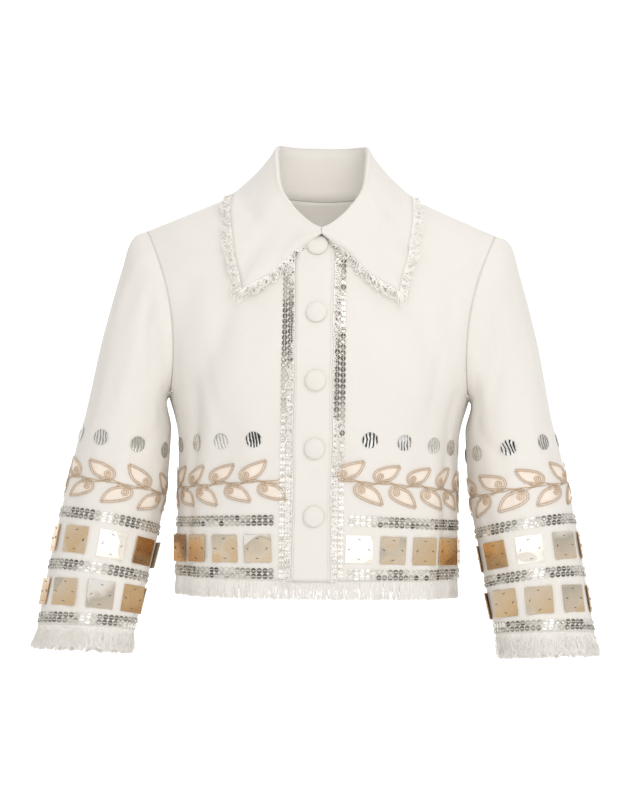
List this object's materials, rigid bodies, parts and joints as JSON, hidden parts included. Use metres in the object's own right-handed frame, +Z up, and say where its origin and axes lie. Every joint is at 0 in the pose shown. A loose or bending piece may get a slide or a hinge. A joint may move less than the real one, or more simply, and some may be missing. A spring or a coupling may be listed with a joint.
{
  "type": "jacket",
  "caption": "Cropped jacket with a pointed collar, frayed edges and rows of raised square plates; it keeps its worn shape, open at neck, hem and cuffs.",
  "frame": {"origin": "middle of the neck base, midway between the two shoulder seams, where a wearer's shoulders carry the jacket", "axes": "+X towards the wearer's left sleeve, +Y towards the back, +Z up"},
  "size_m": [0.6139, 0.2361, 0.5657],
  "materials": {
    "ivory_cloth": "matt plain weave",
    "ivory_band": "matt plain weave",
    "covered_button": "cloth covered",
    "frayed_thread": "loose frayed threads"
  },
  "bodies": {
    "root": {"back_panel": "ivory_cloth", "front_left": "ivory_cloth", "front_right": "ivory_cloth", "sleeve_left": "ivory_cloth", "sleeve_right": "ivory_cloth", "placket": "ivory_band", "collar_stand": "ivory_band", "collar_fall": "ivory_band", "button_1": "covered_button", "button_2": "covered_button", "button_3": "covered_button", "button_4": "covered_button", "button_5": "covered_button", "hem_fringe": "frayed_thread", "cuff_fringe_left": "frayed_thread", "cuff_fringe_right": "frayed_thread", "collar_fringe": "frayed_thread", "placket_fringe_left": "frayed_thread", "placket_fringe_right": "frayed_thread"}
  },
  "joints": []
}
